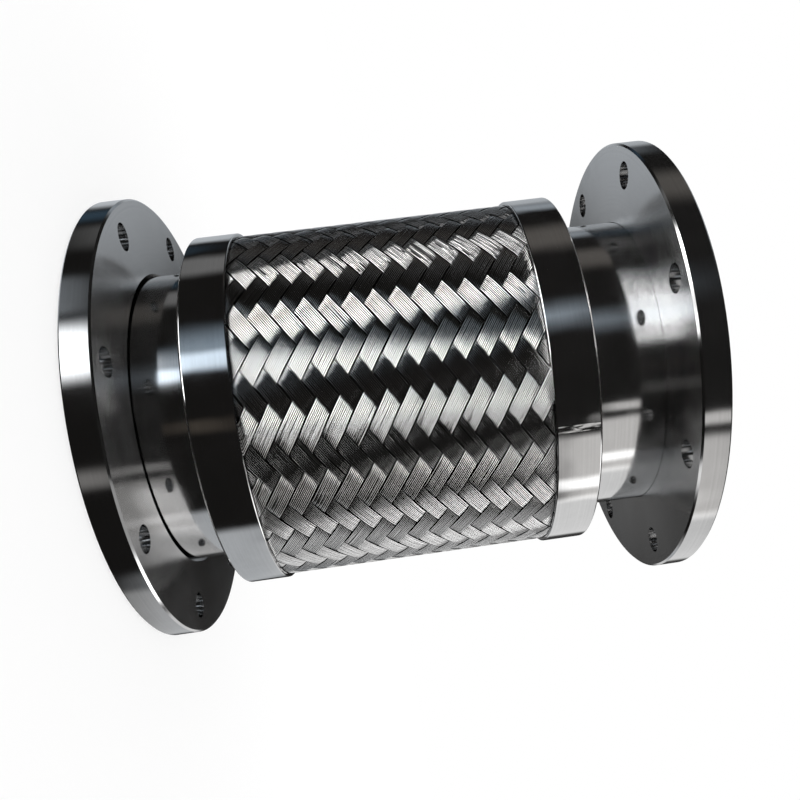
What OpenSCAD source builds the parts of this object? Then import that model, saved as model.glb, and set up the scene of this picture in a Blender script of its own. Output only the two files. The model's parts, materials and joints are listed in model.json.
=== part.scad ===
// Braided metal hose for vacuum lines, standing on its lapped end.
// The origin is on the hose axis in the plane that the lap collar stands on.
// Lengths are in millimetres and +Z runs along the hose.

/* [Overall] */
// Length from the face of the lap collar to the face of the fixed flange
overall_len = 247; // [237:1:280]

/* [Flanges] */
// Width of both flanges from the tube to the rim
flange_width = 35.1; // [32:0.1:50]
// Thickness of both flanges
flange_t = 12; // [10:0.5:16]
// Chamfer on the rim of both flanges
flange_edge = 0.8; // [0.3:0.1:1.5]
// Distance from the rim to the centres of the bolt holes
bolt_inset = 12.5; // [9:0.1:15]
// Diameter of one bolt hole
bolt_hole_d = 12; // [10:0.5:13]
// Number of bolt holes in each flange
bolt_count = 8; // [4:1:12]
// Angle by which the loose flange is turned against the fixed one
loose_flange_turn = 3.2; // [0:0.1:45]

/* [Lap collar] */
// Thickness of the collar that holds the loose flange on
collar_t = 6; // [5:0.5:8]
// Chamfer on the collar's outer edges
collar_edge = 0.5; // [0.2:0.1:1]
// How far the collar stands out of the loose flange
collar_proud = 1; // [0.5:0.1:2]
// Gap round the collar in the recess of the loose flange
collar_gap = 0.5; // [0.3:0.1:1]
// Width of flange left between the recess and the bolt holes
recess_land = 2; // [1.5:0.1:5]
// Gap between the loose flange and the tube inside it
loose_gap = 1.5; // [1:0.1:2.5]

/* [Stub tubes] */
// Outer diameter of both stub tubes
tube_od = 139.8; // [136:0.1:142]
// Wall of both stub tubes
tube_wall = 3; // [2.5:0.1:4]
// Gap between a tube and the flange, collar or ring it is welded to
tube_fit = 0.2; // [0.1:0.05:0.4]
// Depth of a tube's end below the face of its flange or collar
tube_setback = 3; // [2.8:0.1:4]
// Bare tube between the loose flange and the ferrule
lower_neck = 25; // [18:0.5:35]
// Bare tube between the fixed flange and the ferrule
upper_neck = 33.5; // [14:0.5:40]

/* [Braid] */
// Height of the wire bands' crowns above the stub tubes
braid_height = 13.6; // [12.5:0.1:16]
// Thickness of the sleeve from its bore to the crowns
braid_wall = 2.2; // [1.8:0.1:3]
// Depth of the grooves round each tile of the weave
braid_relief = 0.8; // [0.4:0.1:1.4]
// Fall of a band's crown from the middle of a tile to its ends
tile_fall = 0.2; // [0.1:0.05:0.3]
// Length over which a band dips under its neighbour at a tile's end
tile_ramp = 1.6; // [0.8:0.1:2.5]
// Width of the bevel along a tile's long sides
tile_bevel = 0.35; // [0.2:0.05:0.8]
// Half the number of wire bands in each direction
band_pairs = 18; // [14:1:21]
// Length of one tile of the weave along the hose
tile_len = 9.42; // [8.5:0.01:11]
// Turn of the weave about the hose axis
braid_turn = 0.4; // [0:0.1:20]
// Depth below the lower ferrule's edge at which the first row of whole tiles starts
weave_tuck = 6; // [4:0.1:6.5]

/* [Ferrules] */
// Wall of the rings that clamp the braid's ends
ferrule_wall = 1.5; // [1.2:0.1:3]
// Length of one ring along the hose
ferrule_len = 18.7; // [16.5:0.1:24]
// Rounding of the rings' outer edges
ferrule_edge = 0.5; // [0.2:0.1:0.8]
// Width of the ground weld seam across a ring
seam_w = 3; // [2:0.1:5]
// Height of that seam above the ring
seam_h = 0.2; // [0.1:0.05:0.4]
// Place of the upper ring's seam round the axis
upper_seam_at = 283; // [0:1:359]
// Place of the lower ring's seam round the axis
lower_seam_at = 96; // [0:1:359]

/* [Support rings] */
// Thickness of the ring's end disc
support_disc_t = 4; // [3:0.5:6]
// Wall of the ring's sleeve under the braid
support_wall = 2; // [1.5:0.1:3]

/* [Bellows] */
// Wall of the corrugated inner tube
bellows_wall = 0.6; // [0.4:0.1:0.9]
// Wanted distance from one corrugation to the next
bellows_pitch = 11.5; // [9:0.1:15]
// Gap between the corrugations and the braid
crest_gap = 0.3; // [0.2:0.05:0.8]

/* [Welds] */
// Leg of the fillet welds on the tubes
weld_leg = 2.4; // [1.5:0.1:2.7]
// Height of the bead that caps each end of the braid
cap_h = 0.9; // [0.5:0.1:1.5]
// Room left for the bead on the end of a bellows cuff
cuff_room = 2.5; // [2:0.1:4]

/* [Hidden] */
$fn = 144;
hole_fn = 48;
edge_steps = 4;
bead_steps = 10;
overcut = 1;
tube_r = tube_od / 2;
bore_r = tube_r - tube_wall;
seat_r = tube_r + tube_fit;
flange_r = tube_r + flange_width;
bolt_circle_r = flange_r - bolt_inset;
recess_r = bolt_circle_r - bolt_hole_d / 2 - recess_land;
collar_r = recess_r - collar_gap;
crown_r = tube_r + braid_height;
braid_bore_r = crown_r - braid_wall;
ferrule_r = crown_r + ferrule_wall;
crest_r = braid_bore_r - crest_gap;

lower_face_z = collar_proud + flange_t;
lower_ferrule_z = lower_face_z + lower_neck;
weave_start_z = lower_ferrule_z + ferrule_len;
upper_face_z = overall_len - flange_t;
upper_ferrule_z = upper_face_z - upper_neck;
weave_end_z = upper_ferrule_z - ferrule_len;
lower_cuff_z = lower_ferrule_z + support_disc_t + cuff_room;
upper_cuff_z = upper_ferrule_z - support_disc_t - cuff_room;

// Points of an arc about centre c, from angle a0 to a1, in steps equal parts.
function arc(c, r, a0, a1, steps) =
    [for (i = [0:steps]) let (a = a0 + (a1 - a0) * i / steps) c + r * [cos(a), sin(a)]];

// Places a sub-part drawn for the lower end at the upper end.
module at_upper_end() {
    translate([0, 0, upper_ferrule_z]) mirror([0, 0, 1]) translate([0, 0, -lower_ferrule_z]) children();
}

// A ring turned from a rectangular section, with both outer edges chamfered.
module chamfered_disc(r_in, r_out, z0, z1, edge) {
    rotate_extrude() polygon([
        [r_in, z0], [r_out - edge, z0], [r_out, z0 + edge],
        [r_out, z1 - edge], [r_out - edge, z1], [r_in, z1]
    ]);
}

module tube(r_in, r_out, z0, z1) {
    rotate_extrude() translate([r_in, z0]) square([r_out - r_in, z1 - z0]);
}

module bolt_holes(z0, z1, turn) {
    for (i = [0:bolt_count - 1])
        rotate(turn + (i + 0.5) * 360 / bolt_count)
            translate([bolt_circle_r, 0, z0 - overcut])
                cylinder(d = bolt_hole_d, h = z1 - z0 + 2 * overcut, $fn = hole_fn);
}

// A fillet weld in the corner between a wall of radius r and a flat face at height z.
// It reaches leg_r across the face and leg_z along the wall, and their signs give the side.
module fillet_ring(r, z, leg_r, leg_z) {
    rotate_extrude() polygon([[r, z], [r + leg_r, z], [r, z + leg_z]]);
}

// Flanges
module loose_flange() {
    color([0.62, 0.63, 0.64]) difference() {
        chamfered_disc(tube_r + loose_gap, flange_r, collar_proud, lower_face_z, flange_edge);
        translate([0, 0, collar_proud - overcut]) cylinder(r = recess_r, h = collar_t - collar_proud + overcut);
        bolt_holes(collar_proud, lower_face_z, loose_flange_turn);
    }
}

module lap_collar() {
    color([0.7, 0.7, 0.71]) chamfered_disc(seat_r, collar_r, 0, collar_t, collar_edge);
}

module lap_collar_weld() {
    color([0.5, 0.48, 0.45]) fillet_ring(seat_r, tube_setback, -weld_leg, -weld_leg);
}

module fixed_flange() {
    color([0.62, 0.63, 0.64]) difference() {
        chamfered_disc(seat_r, flange_r, upper_face_z, overall_len, flange_edge);
        bolt_holes(upper_face_z, overall_len, 0);
    }
}

module fixed_flange_weld() {
    color([0.5, 0.48, 0.45]) fillet_ring(seat_r, overall_len - tube_setback, -weld_leg, weld_leg);
}

// Stub tubes, which run from their flange to the inner edge of the ferrule
module lower_stub_tube() {
    color([0.74, 0.74, 0.75]) tube(bore_r, tube_r, tube_setback, weave_start_z);
}

module upper_stub_tube() {
    color([0.74, 0.74, 0.75]) tube(bore_r, tube_r, weave_end_z, overall_len - tube_setback);
}

// Support rings, drawn for the lower end: a disc round the tube and a sleeve under the braid
module support_ring() {
    disc_top = lower_ferrule_z + support_disc_t;
    color([0.6, 0.6, 0.62]) rotate_extrude() polygon([
        [seat_r, lower_ferrule_z], [braid_bore_r, lower_ferrule_z],
        [braid_bore_r, weave_start_z], [braid_bore_r - support_wall, weave_start_z],
        [braid_bore_r - support_wall, disc_top], [seat_r, disc_top]
    ]);
}

module support_weld() {
    color([0.5, 0.48, 0.45]) fillet_ring(tube_r, lower_ferrule_z, weld_leg, -weld_leg);
}

// The bead on the end of a bellows cuff, in the corner between cuff and tube
module cuff_weld() {
    color([0.5, 0.48, 0.45]) fillet_ring(tube_r, lower_cuff_z, bellows_wall, -2 * bellows_wall);
}

// Ferrules, drawn for the lower end: a rolled ring over the end of the braid
module ferrule() {
    e = ferrule_edge;
    z0 = lower_ferrule_z;
    z1 = weave_start_z;
    color([0.78, 0.78, 0.79]) rotate_extrude() polygon(concat(
        [[crown_r, z0]],
        arc([ferrule_r - e, z0 + e], e, -90, 0, edge_steps),
        arc([ferrule_r - e, z1 - e], e, 0, 90, edge_steps),
        [[crown_r, z1]]
    ));
}

// The ground seam where the ring's strip was joined, as a low bead across it
module ferrule_seam(turn) {
    half_turn = seam_w / ferrule_r * 90 / PI;
    color([0.66, 0.65, 0.63]) translate([0, 0, lower_ferrule_z + ferrule_edge]) rotate(turn - half_turn)
        rotate_extrude(angle = 2 * half_turn)
            translate([ferrule_r, 0]) square([seam_h, ferrule_len - 2 * ferrule_edge]);
}

// The bead that joins support ring, braid end and ferrule
module cap_weld() {
    r0 = braid_bore_r - support_wall / 2;
    r1 = ferrule_r - ferrule_edge;
    half = (r1 - r0) / 2;
    bead_r = (half * half + cap_h * cap_h) / (2 * cap_h);
    spread = asin(half / bead_r);
    color([0.5, 0.48, 0.45]) rotate_extrude() polygon(
        arc([r0 + half, lower_ferrule_z + bead_r - cap_h], bead_r, 270 - spread, 270 + spread, bead_steps)
    );
}

// Bellows: a thin tube with U-shaped corrugations and a plain cuff at each end
conv_count = max(2, round((weave_end_z - weave_start_z) / bellows_pitch));
conv_len = (weave_end_z - weave_start_z) / conv_count;
bend_r = conv_len / 4;
crest_centre_r = crest_r - bellows_wall / 2 - bend_r;
root_centre_r = tube_r + bellows_wall / 2 + bend_r;
bend_steps = 8;

// One face of the bellows wall, at offset o from the middle of the wall.
function crest_arc(i, o) =
    arc([crest_centre_r, weave_start_z + (i + 0.5) * conv_len], bend_r + o, -90, 90, bend_steps);
function root_arc(i, o, a0, a1) =
    arc([root_centre_r, weave_start_z + i * conv_len], bend_r - o, a0, a1, bend_steps);
function bellows_side(o) = concat(
    [[root_centre_r - bend_r + o, lower_cuff_z]],
    root_arc(0, o, 180, 90),
    [for (i = [0:conv_count - 1]) each concat(
        crest_arc(i, o),
        i < conv_count - 1 ? root_arc(i + 1, o, 270, 90) : root_arc(i + 1, o, 270, 180)
    )],
    [[root_centre_r - bend_r + o, upper_cuff_z]]
);
function reversed(list) = [for (i = [len(list) - 1:-1:0]) list[i]];

module bellows() {
    color([0.55, 0.56, 0.58]) rotate_extrude()
        polygon(concat(bellows_side(bellows_wall / 2), reversed(bellows_side(-bellows_wall / 2))));
}

// Braid sleeve. Each band passes over two others and under two, so what shows is a
// herringbone of tiles, each two crossings long and one band wide. A lattice point is
// [s, k]: s half steps round the axis, on row k of crossings. Grooves run between the
// points where s + k is odd, and crossings lie where s + k is even.
band_count = 2 * band_pairs;
ring_points = 2 * band_count;
half_step = 180 / band_count;
row_len = tile_len / 2;
first_row_z = weave_start_z - weave_tuck;
row_slack = 0.3;
end_room = 1;
wanted_pairs = ceil((weave_end_z - row_slack - first_row_z) / tile_len);
room_pairs = floor((upper_ferrule_z - end_room - tile_len - first_row_z) / tile_len);
last_row = 4 + 2 * min(wanted_pairs, room_pairs);
cell_side = norm([crown_r * half_step * PI / 180, row_len]);
cell_width = 2 * crown_r * half_step * PI / 180 * row_len / cell_side;
ramp = tile_ramp / cell_side;
half_top = 0.5 - tile_bevel / cell_width;

// Places round a tile, as crossings along the band and across it from its first crossing:
// the corners of its grooves, and the edge of its raised top.
tile_foot = [[-0.5, -0.5], [0.5, -0.5], [1.5, -0.5], [1.5, 0.5], [0.5, 0.5], [-0.5, 0.5]];
tile_edge = [[ramp - 0.5, -half_top], [0.5, -half_top], [1.5 - ramp, -half_top],
             [1.5 - ramp, half_top], [0.5, half_top], [ramp - 0.5, half_top]];

// The first row of whole tiles is row 2. The end rows lie on the sleeve's ends.
function height_at(k) = first_row_z + (k - 2) * row_len;
function row_z(k) = k == 0 ? lower_ferrule_z : k == last_row ? upper_ferrule_z : height_at(k);
function at(r, s, z) = let (a = braid_turn + s * half_step) [r * cos(a), r * sin(a), z];
function ring_at(r, z) = [for (s = [0:ring_points - 1]) at(r, s, z)];
function groove_row(k) =
    [for (q = [0:band_count - 1]) at(crown_r - braid_relief, 2 * q + (k + 1) % 2, row_z(k))];

// Tiles start on every second row and step. They rise along the hose and fall by turns.
tiles = [for (k = [2:2:last_row - 2]) each [for (q = [0:band_count - 1]) [2 * q, k, 1 - 2 * (q % 2)]]];
function along_tile(tile, place) =
    [tile[0] + place[0] + place[1], tile[1] + tile[2] * (place[0] - place[1])];
function tile_top(tile) =
    [for (place = tile_edge) let (p = along_tile(tile, place))
        at(crown_r - (place[0] == 0.5 ? 0 : tile_fall), p[0], height_at(p[1]))];

// Numbers of the points: two rings at the lower end, groove rows, two rings, tile tops.
lower_inner = 0;
lower_outer = ring_points;
groove_start = 2 * ring_points;
upper_outer = groove_start + (last_row - 1) * band_count;
upper_inner = upper_outer + ring_points;
top_start = upper_inner + ring_points;
function turned(s) = (s + ring_points) % ring_points;
function point_number(p) =
    p[1] == 0 ? lower_outer + turned(p[0])
    : p[1] == last_row ? upper_outer + turned(p[0])
    : groove_start + (p[1] - 1) * band_count + (turned(p[0]) - (p[1] + 1) % 2) / 2;

function flipped(face) = [face[2], face[1], face[0]];
function tile_faces(n) = let (
    tile = tiles[n],
    foot = [for (place = tile_foot) point_number(along_tile(tile, place))],
    top = [for (m = [0:5]) top_start + 6 * n + m],
    faces = concat(
        [for (m = [0:5]) let (e = (m + 1) % 6) each [[foot[m], foot[e], top[e]], [foot[m], top[e], top[m]]]],
        [[top[0], top[1], top[4]], [top[0], top[4], top[5]],
         [top[1], top[2], top[3]], [top[1], top[3], top[4]]]
    )
) tile[2] > 0 ? faces : [for (face = faces) flipped(face)];

// Level crossings, in rows 1 and last_row - 1, which would need a tile beyond the end.
function level_cell(s, k) = let (
    left = point_number([s - 1, k]), right = point_number([s + 1, k]),
    above = point_number([s, k + 1]), below = point_number([s, k - 1])
) [[left, above, right], [left, right, below]];
// Half crossings against the end rings.
function lower_half_cell(s) = let (tip = point_number([s, 1])) [
    [point_number([s - 1, 0]), tip, point_number([s, 0])],
    [point_number([s, 0]), tip, point_number([s + 1, 0])]];
function upper_half_cell(s) = let (tip = point_number([s, last_row - 1])) [
    [tip, point_number([s - 1, last_row]), point_number([s, last_row])],
    [tip, point_number([s, last_row]), point_number([s + 1, last_row])]];
function band_between(a, b) =
    [for (s = [0:ring_points - 1]) let (e = turned(s + 1))
        each [[a + s, b + s, b + e], [a + s, b + e, a + e]]];

module braid_sleeve() {
    inner_r = braid_bore_r / cos(180 / ring_points);
    color([0.68, 0.68, 0.7]) polyhedron(
        points = concat(
            ring_at(inner_r, lower_ferrule_z), ring_at(crown_r, lower_ferrule_z),
            [for (k = [1:last_row - 1]) each groove_row(k)],
            ring_at(crown_r, upper_ferrule_z), ring_at(inner_r, upper_ferrule_z),
            [for (tile = tiles) each tile_top(tile)]
        ),
        faces = concat(
            band_between(lower_inner, lower_outer),
            [for (q = [0:band_count - 1]) each lower_half_cell(2 * q)],
            [for (q = [0:band_pairs - 1]) each level_cell(4 * q + 1, 1)],
            [for (n = [0:len(tiles) - 1]) each tile_faces(n)],
            [for (q = [0:band_pairs - 1]) each level_cell(4 * q + 3, last_row - 1)],
            [for (q = [0:band_count - 1]) each upper_half_cell(2 * q)],
            band_between(upper_outer, upper_inner),
            band_between(upper_inner, lower_inner)
        ),
        convexity = 6
    );
}

// The upper end is the lower end turned over.
module lower_support_ring() { support_ring(); }
module upper_support_ring() { at_upper_end() support_ring(); }
module lower_support_weld() { support_weld(); }
module upper_support_weld() { at_upper_end() support_weld(); }
module lower_cuff_weld() { cuff_weld(); }
module upper_cuff_weld() { at_upper_end() cuff_weld(); }
module lower_ferrule() { ferrule(); }
module upper_ferrule() { at_upper_end() ferrule(); }
module lower_ferrule_seam() { ferrule_seam(lower_seam_at); }
module upper_ferrule_seam() { at_upper_end() ferrule_seam(upper_seam_at); }
module lower_cap_weld() { cap_weld(); }
module upper_cap_weld() { at_upper_end() cap_weld(); }

loose_flange();
lap_collar();
lap_collar_weld();
lower_stub_tube();
lower_support_ring();
lower_support_weld();
lower_cuff_weld();
lower_ferrule();
lower_ferrule_seam();
lower_cap_weld();
bellows();
braid_sleeve();
upper_cap_weld();
upper_ferrule_seam();
upper_ferrule();
upper_cuff_weld();
upper_support_weld();
upper_support_ring();
upper_stub_tube();
fixed_flange_weld();
fixed_flange();
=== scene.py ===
import json
import math

import bpy
import numpy as np
from mathutils import Matrix, Vector


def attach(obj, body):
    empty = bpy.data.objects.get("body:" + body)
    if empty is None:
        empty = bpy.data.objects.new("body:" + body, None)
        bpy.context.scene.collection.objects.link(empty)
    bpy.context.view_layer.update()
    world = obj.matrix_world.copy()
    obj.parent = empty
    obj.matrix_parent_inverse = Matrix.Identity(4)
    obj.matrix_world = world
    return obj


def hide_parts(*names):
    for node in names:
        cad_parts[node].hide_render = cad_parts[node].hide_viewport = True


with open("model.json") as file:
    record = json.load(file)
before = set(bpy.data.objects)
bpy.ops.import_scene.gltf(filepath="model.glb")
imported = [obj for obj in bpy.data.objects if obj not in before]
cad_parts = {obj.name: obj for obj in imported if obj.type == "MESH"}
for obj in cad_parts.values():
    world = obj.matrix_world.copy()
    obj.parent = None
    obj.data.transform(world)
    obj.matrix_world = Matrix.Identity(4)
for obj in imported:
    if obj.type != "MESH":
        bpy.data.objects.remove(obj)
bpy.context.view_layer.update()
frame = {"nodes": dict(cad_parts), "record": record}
nodes = frame["nodes"]
scene = bpy.context.scene
scene.view_settings.view_transform = "Standard"
MM = 0.001


# Camera, in pixels of the photograph and in millimetres on the part

PICTURE = 800
FOCAL = 726.6
MIDDLE = (441.7, 462.6)
SENSOR = 36
EYE = (-22.4, -372.8, 119.4)
AHEAD = (0.1633, 0.9852, 0.0513)
RIGHT = (0.1244, -0.0721, 0.9896)


def make_camera():
    """The photograph's camera, fitted to the rims, holes, rings and tiles of the weave."""
    ahead = Vector(AHEAD).normalized()
    right = Vector(RIGHT)
    right = (right - ahead * right.dot(ahead)).normalized()
    up = right.cross(ahead)
    cam = bpy.data.cameras.new("camera")
    cam.sensor_width = SENSOR
    cam.lens = FOCAL / PICTURE * SENSOR
    cam.shift_x = 0.5 - MIDDLE[0] / PICTURE
    cam.shift_y = MIDDLE[1] / PICTURE - 0.5
    cam.clip_start = 0.01
    obj = bpy.data.objects.new("camera", cam)
    turn = Matrix((right, up, -ahead)).transposed()
    obj.matrix_world = Matrix.Translation(Vector(EYE) * MM) @ turn.to_4x4()
    scene.collection.objects.link(obj)
    scene.camera = obj


make_camera()


# Node helpers

class Tree:
    """A short way to write node trees."""

    def __init__(self, tree):
        self.tree = tree
        tree.nodes.clear()

    def add(self, kind, inputs=None, **settings):
        node = self.tree.nodes.new(kind)
        for name, value in settings.items():
            setattr(node, name, value)
        for key, value in (inputs or {}).items():
            self.feed(node.inputs[key], value)
        return node

    def feed(self, socket, value):
        if isinstance(value, bpy.types.NodeSocket):
            self.tree.links.new(value, socket)
        else:
            socket.default_value = value

    def math(self, operation, *values):
        node = self.add("ShaderNodeMath", operation=operation)
        for socket, value in zip(node.inputs, values):
            self.feed(socket, value)
        return node.outputs[0]

    def ramp(self, value, low, high, to_low=0.0, to_high=1.0):
        inputs = {"Value": value, "From Min": low, "From Max": high, "To Min": to_low, "To Max": to_high}
        return self.add("ShaderNodeMapRange", inputs, interpolation_type="SMOOTHSTEP").outputs[0]

    def pick(self, factor, first, second):
        inputs = {0: factor, 2: first, 3: second}
        return self.add("ShaderNodeMix", inputs, data_type="FLOAT").outputs[0]

    def blend(self, factor, first, second, how="MIX"):
        inputs = {0: factor, 6: first, 7: second}
        return self.add("ShaderNodeMix", inputs, data_type="RGBA", blend_type=how).outputs[2]

    def noise(self, vector, scale, detail, roughness):
        inputs = {"Vector": vector, "Scale": scale, "Detail": detail, "Roughness": roughness}
        return self.add("ShaderNodeTexNoise", inputs).outputs["Fac"]

    def bump(self, height, distance, **more):
        inputs = {"Strength": 1.0, "Distance": distance, "Height": height, **more}
        return self.add("ShaderNodeBump", inputs).outputs[0]


def grey(value, warm=0.0):
    return (value * (1 + warm), value, value * (1 - warm), 1.0)


# World and floor

# Metal sees a dark studio with pale panels in it. Angles are in degrees: azimuth runs round
# the hose's axis from +X to +Y, and elevation is the angle towards +Z.
STUDIO_DARK = grey(0.01, 0.05)
PANELS = [
    # azimuth, half width, elevation, half height, softness, strength, warmth
    (206, 9, -42, 8, 4, 7.5, 0.0),
    (224, 9, -42, 8, 4, 5.0, 0.0),
    (242, 9, -42, 8, 4, 8.0, 0.0),
    (206, 9, -58, 8, 4, 4.5, 0.0),
    (224, 9, -58, 8, 4, 1.5, 0.0),
    (242, 9, -58, 8, 4, 4.0, 0.0),
    (190, 7, -43, 7, 3, 4.0, 0.0),
    (190, 7, -58, 8, 3, 9.0, 0.0),
    (228, 12, -26, 5, 6, 3.4, -0.02),
    (198, 10, -26, 4, 3, 0.36, -0.08),
    (233, 5, -12, 9, 3, 0.92, -0.14),
    (233, 5, -19, 3, 3, 0.5, -0.1),
    (224, 8, -12, 8, 10, 0.35, -0.2),
    (232, 4, 10, 7, 10, 0.5, -0.14),
    (160, 9, -13, 6, 5, 0.16, 0.0),
    (289, 4, -24, 4, 3, 0.23, 0.03),
    (272, 4, -15, 2, 3, 0.05, 0.2),
    (22, 38, -14, 5, 4, 0.48, -0.04),
    (26, 30, -21, 4, 3, 0.26, 0.0),
    (300, 3, 21.5, 5.5, 1.5, 0.75, 0.02),
    (335, 26, 19, 7.5, 3, 0.68, 0.02),
    (345, 4, 15, 5, 3, 1.2, 0.0),
    (335, 14, 38, 8, 5, 2.95, 0.0),
    (335, 28, 57, 9, 3, 0.4, 0.0),
    (5, 14, 38, 8, 5, 3.6, 0.0),
    (25, 27, 8, 17, 4, 0.8, 0.0),
    (8, 24, -52, 9, 4, 1.1, 0.0),
    (112, 14, 0, 12, 5, 0.47, -0.06),
    (112, 14, 32, 20, 5, 0.45, -0.06),
    (112, 14, -32, 20, 5, 0.54, -0.06),
    (84, 14, -12, 12, 5, 0.12, 0.0),
    (60, 10, 12, 12, 5, 0.03, 0.0),
    (134, 6, 10, 8, 5, 0.33, -0.1),
    (138, 6, -20, 6, 5, 0.05, -0.5),
    (173, 10, 18, 12, 7, 0.09, 0.08),
    (150, 20, -50, 14, 6, 0.25, 0.0),
]
# Half the floor's width in metres, its tone, and how much of what the camera sees is glow
FLOOR_HALF = 4.0
FLOOR_TONE = 0.85
FLOOR_GLOW = 1.09
GLOW_SHARE = 0.7


def panel_light(t, azimuth, elevation, panel):
    """Colour that one panel sends, with soft edges."""
    az, half_w, el, half_h, soft = (math.radians(v) for v in panel[:5])
    strength, warm = panel[5:]
    aside = t.math("WRAP", t.math("SUBTRACT", azimuth, az), math.pi, -math.pi)
    across = t.math("ABSOLUTE", aside)
    along = t.math("ABSOLUTE", t.math("SUBTRACT", elevation, el))
    inside = t.math("MULTIPLY", t.ramp(across, half_w + soft, half_w - soft),
                    t.ramp(along, half_h + soft, half_h - soft))
    return t.blend(inside, grey(0.0), grey(strength, warm))


def make_world():
    """White to the camera, and the studio to metal."""
    world = bpy.data.worlds.new("studio")
    scene.world = world
    world.use_nodes = True
    t = Tree(world.node_tree)
    ray = t.add("ShaderNodeTexCoord").outputs["Generated"]
    part = t.add("ShaderNodeSeparateXYZ", {0: ray}).outputs
    azimuth = t.math("ARCTAN2", part["Y"], part["X"])
    elevation = t.math("ARCSINE", part["Z"])
    light = STUDIO_DARK
    for panel in PANELS:
        light = t.blend(1.0, light, panel_light(t, azimuth, elevation, panel), "ADD")
    path = t.add("ShaderNodeLightPath").outputs
    studio = t.add("ShaderNodeBackground", {0: light, 1: 1.0}).outputs[0]
    plain = t.add("ShaderNodeBackground", {0: grey(1.0), 1: 1.0}).outputs[0]
    mirrored = t.math("MAXIMUM", path["Is Glossy Ray"], path["Is Transmission Ray"])
    mixed = t.add("ShaderNodeMixShader", {0: mirrored, 1: plain, 2: studio}).outputs[0]
    t.add("ShaderNodeOutputWorld", {0: mixed})


def make_floor():
    """A white floor that keeps a light shadow. Metal looks past it to the studio."""
    corners = [(x * FLOOR_HALF, y * FLOOR_HALF, 0) for x, y in ((-1, -1), (1, -1), (1, 1), (-1, 1))]
    mesh = bpy.data.meshes.new("floor")
    mesh.from_pydata(corners, [], [(0, 1, 2, 3)])
    floor = bpy.data.objects.new("floor", mesh)
    scene.collection.objects.link(floor)
    mat = bpy.data.materials.new("floor")
    mat.use_nodes = True
    t = Tree(mat.node_tree)
    path = t.add("ShaderNodeLightPath").outputs
    matt = t.add("ShaderNodeBsdfDiffuse", {0: grey(FLOOR_TONE)}).outputs[0]
    white = t.add("ShaderNodeEmission", {0: grey(1.0), 1: FLOOR_GLOW}).outputs[0]
    seen = t.add("ShaderNodeMixShader", {0: GLOW_SHARE, 1: matt, 2: white}).outputs[0]
    solid = t.add("ShaderNodeMixShader", {0: path["Is Camera Ray"], 1: matt, 2: seen}).outputs[0]
    clear = t.add("ShaderNodeBsdfTransparent").outputs[0]
    mixed = t.add("ShaderNodeMixShader", {0: path["Is Glossy Ray"], 1: solid, 2: clear}).outputs[0]
    t.add("ShaderNodeOutputMaterial", {0: mixed})
    mesh.materials.append(mat)


make_world()
make_floor()


# Materials

# Noise scales, for each metre: tool marks, smudges, slow waves, weld ripples and weld tints
MARKS = 900.0
SMUDGES = 60.0
SLOW_WAVES = (26.0, 26.0, 26.0)
SEAM_WAVES = (240.0, 240.0, 60.0)
RIPPLES = 700.0
TINTS = 90.0
# Depth of the weld's ripples in metres
RIPPLE_DEPTH = 0.0002
# A face counts as flat where its normal leans this far along the axis
FLAT_LEAN = 0.9
# Stretch of the highlights on turned flat faces, and its turn from along the marks to across
FACE_STRETCH = 0.95
STRETCH_TURN = 0.25
# Middle part of a noise's range, over which colour and gloss change
CHANGE = (0.3, 0.7)
# How far that change takes tone and roughness, as shares of a turned metal's own
TONE_SHARES = (0.93, 1.05)
WALL_SHARES = (0.8, 1.25)
FACE_SHARES = (0.9, 1.1)
# Tones of a wire from dull to bright, and its roughness
WIRE_TONES = (0.74, 1.0)
WIRE_ROUGHNESS = (0.06, 0.13)
# Streaks of a wire: their stretch along it, and their scale
STREAK_STRETCH = 0.15
STREAKS = 1.5
# Where the painted shade in a groove begins and is darkest, in wire widths from a wire's middle.
# Levels between which a band gets painted shade as it dives. Tone of both painted shades
GROOVE_SHADE = (0.2, 0.4)
DIVE_SHADE = (0.35, -0.3)
SHADE = 0.03


def start_material(name, base, roughness):
    mat = bpy.data.materials.new(name)
    mat.use_nodes = True
    t = Tree(mat.node_tree)
    inputs = {"Metallic": 1.0, "Base Color": base, "Roughness": roughness}
    shader = t.add("ShaderNodeBsdfPrincipled", inputs)
    t.add("ShaderNodeOutputMaterial", {0: shader.outputs[0]})
    return mat, t, shader


def place_of(t):
    """Position on the part in metres, its height, and its distance from the hose's axis."""
    spot = t.add("ShaderNodeTexCoord").outputs["Object"]
    part = t.add("ShaderNodeSeparateXYZ", {0: spot}).outputs
    squares = [t.math("MULTIPLY", part[axis], part[axis]) for axis in ("X", "Y")]
    return spot, part["Z"], t.math("SQRT", t.math("ADD", *squares))


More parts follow.
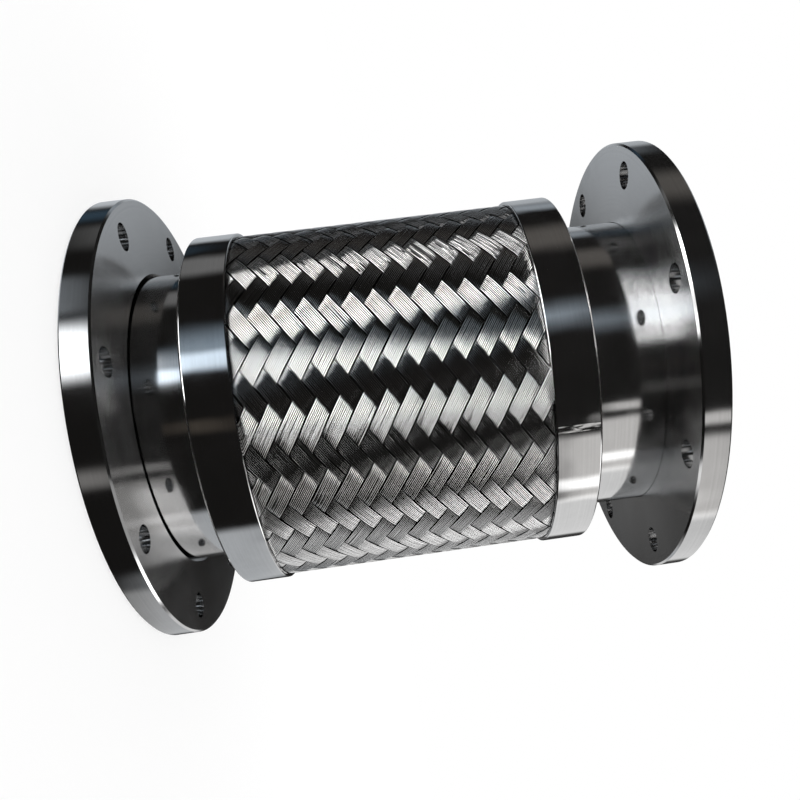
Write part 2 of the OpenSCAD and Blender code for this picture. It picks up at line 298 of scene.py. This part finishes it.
def turned_steel(name, tone, roughness, mark_depth, wave=0.0, waves=SLOW_WAVES, face=None):
    """Turned steel, with tool marks round the axis. Walls are polished to the roughness
    given. Flat faces may have their own, and then highlights stretch across their marks.
    The metal may wave gently, to the depth given, with so many waves to the metre along each
    axis. Depths are in metres."""
    mat, t, shader = start_material(name, grey(tone), roughness)
    spot, height, radius = place_of(t)
    normal = t.add("ShaderNodeNewGeometry").outputs["True Normal"]
    lean = t.math("ABSOLUTE", t.add("ShaderNodeSeparateXYZ", {0: normal}).outputs["Z"])
    flat = t.math("GREATER_THAN", lean, FLAT_LEAN)
    line = t.add("ShaderNodeCombineXYZ", {0: t.pick(flat, height, radius)}).outputs[0]
    marks = t.noise(line, MARKS, 3.0, 0.6)
    smudge = t.noise(spot, SMUDGES, 4.0, 0.6)
    both = t.math("ADD", t.math("MULTIPLY", marks, 0.5), t.math("MULTIPLY", smudge, 0.5))
    dull, bright = (grey(tone * share) for share in TONE_SHARES)
    shade = t.blend(t.ramp(both, *CHANGE), dull, bright)
    t.feed(shader.inputs["Base Color"], shade)
    if face is None:
        gloss = t.ramp(smudge, *CHANGE, *(roughness * share for share in WALL_SHARES))
    else:
        level = t.pick(flat, roughness, face)
        gloss = t.math("MULTIPLY", level, t.ramp(smudge, *CHANGE, *FACE_SHARES))
        t.feed(shader.inputs["Anisotropic"], t.math("MULTIPLY", flat, FACE_STRETCH))
        t.feed(shader.inputs["Anisotropic Rotation"], STRETCH_TURN)
        tangent = t.add("ShaderNodeTangent", direction_type="RADIAL", axis="Z").outputs[0]
        t.feed(shader.inputs["Tangent"], tangent)
    t.feed(shader.inputs["Roughness"], gloss)
    bump = t.bump(marks, mark_depth)
    if wave:
        scaled = t.add("ShaderNodeVectorMath", {0: spot, 1: waves}, operation="MULTIPLY").outputs[0]
        bump = t.bump(t.noise(scaled, 1.0, 2.0, 0.5), wave, Normal=bump)
    t.feed(shader.inputs["Normal"], bump)
    return mat


def weld_steel(name):
    """Rougher, slightly brown metal with fine ripples."""
    mat, t, shader = start_material(name, grey(0.45), 0.35)
    spot = place_of(t)[0]
    ripple = t.noise(spot, RIPPLES, 3.0, 0.6)
    tint = t.ramp(t.noise(spot, TINTS, 2.0, 0.5), 0.35, 0.65)
    t.feed(shader.inputs["Base Color"], t.blend(tint, grey(0.4, 0.06), grey(0.55, 0.02)))
    t.feed(shader.inputs["Roughness"], t.ramp(ripple, *CHANGE, 0.25, 0.5))
    t.feed(shader.inputs["Normal"], t.bump(ripple, RIPPLE_DEPTH, Strength=0.6))
    return mat


def wire_steel(name):
    """Bright drawn wire. In the UV map the first axis counts wires and the second runs along
    them. Painted shade darkens the grooves between wires and the bands that dive under others."""
    mat, t, shader = start_material(name, grey(0.7), 0.2)
    uv = t.add("ShaderNodeUVMap", uv_map="wire").outputs[0]
    part = t.add("ShaderNodeSeparateXYZ", {0: uv}).outputs
    number = t.math("FLOOR", part["X"])
    from_middle = t.math("ABSOLUTE", t.math("SUBTRACT", t.math("FRACT", part["X"]), 0.5))
    # Painted shade: the colour darkens towards the grooves between wires
    groove = t.ramp(from_middle, *GROOVE_SHADE)
    own = t.add("ShaderNodeTexWhiteNoise", {"W": number}, noise_dimensions="1D").outputs["Value"]
    length = t.math("MULTIPLY", part["Y"], STREAK_STRETCH)
    along = t.add("ShaderNodeCombineXYZ", {0: number, 1: length}).outputs[0]
    streak = t.noise(along, STREAKS, 3.0, 0.6)
    tone = t.math("ADD", t.math("MULTIPLY", own, 0.5), t.math("MULTIPLY", streak, 0.5))
    bright = t.blend(tone, grey(WIRE_TONES[0], 0.01), grey(WIRE_TONES[1]))
    wire = t.blend(groove, bright, grey(SHADE))
    # Painted shade: a band's colour darkens where it dives under the other family
    over = t.add("ShaderNodeAttribute", attribute_name="over").outputs["Fac"]
    dive_shade = t.ramp(over, *DIVE_SHADE)
    t.feed(shader.inputs["Base Color"], t.blend(dive_shade, wire, grey(SHADE)))
    t.feed(shader.inputs["Roughness"], t.ramp(streak, *CHANGE, *WIRE_ROUGHNESS))
    return mat


wire_metal = wire_steel("braid_wire")
seam_metal = turned_steel("ground_seam", 0.7, 0.12, 0.000003, wave=0.0009, waves=SEAM_WAVES)
LOOKS = {
    "flange_steel": turned_steel("flange_steel", 0.62, 0.1, 0.000002, wave=0.0002, face=0.22),
    "polished_tube": turned_steel("polished_tube", 0.66, 0.1, 0.000003, wave=0.0003),
    "polished_ring": turned_steel("polished_ring", 0.7, 0.07, 0.000001, wave=0.0005),
    "ring_steel": turned_steel("ring_steel", 0.55, 0.25, 0.00001),
    "bellows_steel": turned_steel("bellows_steel", 0.6, 0.16, 0.000005),
    "weld_metal": weld_steel("weld_metal"),
    "braid_wire": wire_metal,
}
for entry in frame["record"]["subparts"]:
    ground = entry["node"].endswith("ferrule_seam")
    for holder in nodes[entry["node"]].material_slots:
        holder.material = seam_metal if ground else LOOKS[entry["material_slot"]]


# Braid, in millimetres and degrees

# Reach of the crowns, length of a tile, turn of the weave and middle of the first tile row
CROWN_R = 83.5
TILE = 9.42
TURN = 0.35
FIRST_TILE_Z = 62.475
# Bands in each direction, the angle from one to the next, bands to a piece, wires to a band
BANDS = 36
BAND_STEP = 360 / BANDS
GROUP = 12
WIRES = 10
# Height of a wire over its band, width of a band, and its swing over and under
WIRE_R = 0.36
BAND_W = 7.35
SWING = 0.4
# Points across a wire, as shares of its pitch and height, and a band's narrower, flat back
WIRE_POINTS = ((-0.5, 0.0), (-0.36, 0.72), (0.0, 1.0), (0.36, 0.72))
BACK_INSET = 0.2
BACK_DEPTH = 0.7 * WIRE_R
# Crossings over which a band turns down, and the share of the swing that arches it
TURN_DOWN = 0.2
ARCH = 0.38
# Ends of the sleeve and of the woven part, sections to a crossing, and sections to each end
SLEEVE_Z = (41.8, 197.8)
WOVEN_Z = (55.0, 184.5)
STEPS = 4
END_STEPS = 4
# Millimetres over which the weave fades at its ends, and the level it fades to
FADE = 2
END_LEVEL = -0.4
# Sideways and upward wander of a wire, its waves along the sleeve, and how much faster it
# waves upward
WANDER = 0.03
LIFT = 0.01
WAVES = (2, 5, 9, 14)
LIFT_PACE = 1.3
# Wires that have sprung out of line, how far aside and up, and how short the stretch is
SPRUNG = 3
SPRUNG_ASIDE = 0.3
SPRUNG_UP = 0.12
SPRUNG_SHORT = (18, 40)
# Sway of a whole band: its spread, the height of its wave, and waves along the sleeve
SWAY = 0.05
SWAY_WAVE = 0.07
SWAY_WAVES = 3
# Depth of the grooves under the band's surface, and room over the crowns for stray wires
GROOVE_DEPTH = 0.02
CROWN_ROOM = 0.05
# Shift of the floats of each family, in crossings, which sets over and under
FLOAT_SHIFT = (0.5, 2.5)
# Step from a band's first wire number to the next band's, and first seed of each family
NUMBER_STEP = 40.0
SEEDS = (7, 107)
# Edges sharper than this many degrees stay sharp, on wires and on the solids
WIRE_EDGE = 70
SOLID_EDGE = 25

DEGREES_PER_MM = BAND_STEP / TILE
MIDDLE_R = CROWN_R - WIRE_R - SWING
SLANT = math.atan(MIDDLE_R * math.radians(DEGREES_PER_MM))
CROSS_Z = FIRST_TILE_Z - TILE / 4


def weave_level(lattice):
    """Height of a band, from -1 under to 1 over, at a place counted in crossings from the
    middle of a float. The band lies nearly flat over two crossings, then turns down."""
    x = (lattice + 2) % 4 - 2
    edge = np.sin(math.pi / 2 * np.clip((1 - np.abs(x)) / TURN_DOWN, -1, 1))
    return (1 - ARCH) * edge + ARCH * np.cos(math.pi / 2 * x)


def ribbon_section():
    """Points across a band: four to a wire, then two for its under side. Returns how far each
    is from the band's middle, its height, its wire, its place in the UV map, and whether it
    lies between wires or below them."""
    pitch = BAND_W / WIRES
    rows = []
    for w in range(WIRES):
        centre = (w + 0.5) * pitch - BAND_W / 2
        for across, up in WIRE_POINTS:
            rows.append((centre + across * pitch, up * WIRE_R, w, w + 0.5 + across, up == 0.0))
    rows.append((BAND_W / 2, 0.0, WIRES - 1, WIRES, True))
    rows.append((BAND_W / 2 - BACK_INSET, -BACK_DEPTH, WIRES - 1, WIRES, True))
    rows.append((BACK_INSET - BAND_W / 2, -BACK_DEPTH, 0, 0, True))
    across, up, wire, number, low = (np.array(v) for v in zip(*rows))
    return across, up, wire, number.astype(float), low


def section_heights():
    """Heights of a band's sections along the hose."""
    woven = np.arange(WOVEN_Z[0], WOVEN_Z[1] + 0.01, TILE / 2 / STEPS)
    return np.concatenate([
        np.linspace(SLEEVE_Z[0], WOVEN_Z[0], END_STEPS)[:-1],
        woven,
        np.linspace(woven[-1], SLEEVE_Z[1], END_STEPS)[1:],
    ])


def swell(rng, spread, rate, turns):
    """One slow wave along each wire."""
    return rng.normal(0, spread, WIRES) * np.sin(2 * math.pi * (rate * turns + rng.random(WIRES)))


def stray_wires(rng, turns):
    """How far each wire lies aside and up, from one end of its band to the other."""
    aside = np.zeros((len(turns), WIRES))
    up = np.zeros((len(turns), WIRES))
    for wave in WAVES:
        aside += swell(rng, WANDER, wave, turns)
        up += swell(rng, LIFT, wave * LIFT_PACE, turns)
    for _ in range(SPRUNG):
        stretch = np.exp(-((turns[:, 0] - rng.random()) * rng.uniform(*SPRUNG_SHORT)) ** 2)
        w = rng.integers(WIRES)
        aside[:, w] += rng.uniform(-SPRUNG_ASIDE, SPRUNG_ASIDE) * stretch
        up[:, w] += rng.uniform(0.0, SPRUNG_UP) * stretch
    return aside, up


def band_surface(rng, family, b, z, section):
    """Points of one band in metres, as sections of points, and how far each is over."""
    across, up, wire, number, low = section
    sign = 1 if family == 0 else -1
    turns = np.linspace(0, 1, len(z))[:, None]
    aside, lift = stray_wires(rng, turns)
    sway = rng.normal(0, SWAY)
    sway = sway + SWAY_WAVE * np.sin(2 * math.pi * (SWAY_WAVES * turns + rng.random()))
    side = across + np.where(low & (up < 0), 0, aside[:, wire]) + sway
    middle = TURN + BAND_STEP * b + sign * DEGREES_PER_MM * (z - CROSS_Z)
    angle = np.radians(middle)[:, None] + side * math.cos(SLANT) / MIDDLE_R
    high = z[:, None] - sign * side * math.sin(SLANT)
    # Over or under by the other family's bands at this very point, and low at the ends
    other = (np.degrees(angle) - TURN) / BAND_STEP + sign * (high - CROSS_Z) / TILE
    over = weave_level(b + other - FLOAT_SHIFT[family])
    woven = np.clip((high - WOVEN_Z[0]) / FADE - 0.5, 0, 1)
    woven = woven * np.clip((WOVEN_Z[1] - high) / FADE - 0.5, 0, 1)
    over = over * woven + END_LEVEL * (1 - woven)
    r = MIDDLE_R + SWING * over + up + np.where(low, -GROOVE_DEPTH, lift[:, wire])
    r = np.minimum(r, CROWN_R + CROWN_ROOM)
    return np.stack([r * np.cos(angle), r * np.sin(angle), high], -1) * MM, over


def band_faces(family, b, z, number):
    """Quads round one band, and the UV places of their corners."""
    n, m = len(z), len(number)
    i = np.arange(n - 1)[:, None] * m
    j = np.arange(m)[None, :]
    nxt = (j + 1) % m
    quads = np.stack([i + j, i + nxt, i + m + nxt, i + m + j], -1)
    first_wire = NUMBER_STEP * (2 * b + family)
    length = np.concatenate([[0], np.cumsum(np.diff(z))]) / math.cos(SLANT)
    near, far, here, there = (
        np.broadcast_to(v, (n - 1, m))
        for v in (number[j] + first_wire, number[nxt] + first_wire, length[:-1, None], length[1:, None])
    )
    corners = ((near, here), (far, here), (far, there), (near, there))
    uv = np.stack([np.stack(c, -1) for c in corners], 2)
    if family == 1:
        quads, uv = quads[..., ::-1], uv[:, :, ::-1]
    return quads.reshape(-1, 4), uv.reshape(-1, 2)


def wire_mesh(name, verts, faces, uvs, over):
    mesh = bpy.data.meshes.new(name)
    mesh.vertices.add(len(verts))
    mesh.vertices.foreach_set("co", verts.ravel())
    mesh.loops.add(faces.size)
    mesh.loops.foreach_set("vertex_index", faces.ravel().astype(np.int32))
    mesh.polygons.add(len(faces))
    mesh.polygons.foreach_set("loop_start", np.arange(0, faces.size, 4, dtype=np.int32))
    mesh.update(calc_edges=True)
    mesh.uv_layers.new(name="wire").data.foreach_set("uv", uvs.ravel())
    mesh.attributes.new("over", "FLOAT", "POINT").data.foreach_set("value", over)
    mesh.polygons.foreach_set("use_smooth", np.ones(len(faces), bool))
    mesh.set_sharp_from_angle(angle=math.radians(WIRE_EDGE))
    mesh.validate()
    mesh.materials.append(wire_metal)
    return mesh


def braid_bands(family, numbers, name):
    """One piece: closed ribbons of parallel wires that pass over two bands and under two."""
    rng = np.random.default_rng(SEEDS[family] + numbers[0])
    z = section_heights()
    section = ribbon_section()
    verts, faces, uvs, overs = [], [], [], []
    for count, b in enumerate(numbers):
        points, over = band_surface(rng, family, b, z, section)
        quads, uv = band_faces(family, b, z, section[3])
        verts.append(points.reshape(-1, 3))
        overs.append(over.ravel())
        faces.append(quads + count * over.size)
        uvs.append(uv)
    mesh = wire_mesh(name, *(np.concatenate(v) for v in (verts, faces, uvs, overs)))
    obj = bpy.data.objects.new(name, mesh)
    scene.collection.objects.link(obj)
    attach(obj, "hose")
    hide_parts("braid_sleeve")


for family, way in ((0, "right"), (1, "left")):
    for start in range(0, BANDS, GROUP):
        braid_bands(family, range(start, start + GROUP), f"braid_{way}_{start // GROUP + 1}")

for node in nodes.values():
    node.data.polygons.foreach_set("use_smooth", np.ones(len(node.data.polygons), bool))
    node.data.set_sharp_from_angle(angle=math.radians(SOLID_EDGE))
